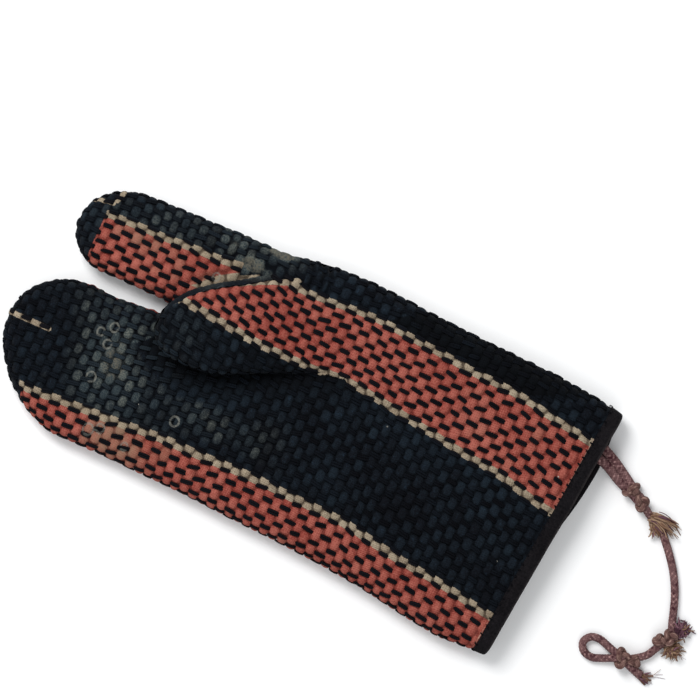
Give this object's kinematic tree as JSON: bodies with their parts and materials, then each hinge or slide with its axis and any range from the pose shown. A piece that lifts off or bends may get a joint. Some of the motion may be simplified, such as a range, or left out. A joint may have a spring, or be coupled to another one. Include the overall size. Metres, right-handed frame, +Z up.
{
  "type": "quilted firefighter glove",
  "caption": "Thick quilted cotton work mitt with a wide finger lobe, an index lobe and a thumb, taped cuff and a knotted hanging cord, laid palm up.",
  "frame": {"origin": "on the floor, below the middle of the glove's box without its cord", "axes": "+Y towards the fingertips, +X towards the index lobe and the thumb, +Z up out of the palm"},
  "size_m": [0.1653, 0.4183, 0.036],
  "materials": {
    "indigo_cloth": "matt quilted cotton, dark indigo, faded to grey blue where worn",
    "striped_cloth": "matt quilted cotton, indigo with faded red stripes edged in beige",
    "binding_tape": "flat woven cotton tape, brown black, worn along its edge",
    "cord_braid": "round braided cotton cord, mauve brown, speckled",
    "frayed_fibre": "loose cotton fibre, tan, some of it purple"
  },
  "bodies": {
    "root": {"back_panel": "indigo_cloth", "palm_panel": "striped_cloth", "thumb_back": "indigo_cloth", "cuff_binding": "binding_tape", "hanging_loop": "indigo_cloth", "cord_cuff_loop": "cord_braid", "cord_short_link": "cord_braid", "cord_main": "cord_braid", "cord_second_link": "cord_braid", "cord_end_loop": "cord_braid", "cord_tail": "cord_braid", "knot_cuff": "cord_braid", "knot_middle": "cord_braid", "knot_end": "cord_braid", "knot_frayed": "frayed_fibre", "tail_fray": "frayed_fibre", "tuft_purple": "frayed_fibre", "tuft_tan": "frayed_fibre"}
  },
  "joints": []
}
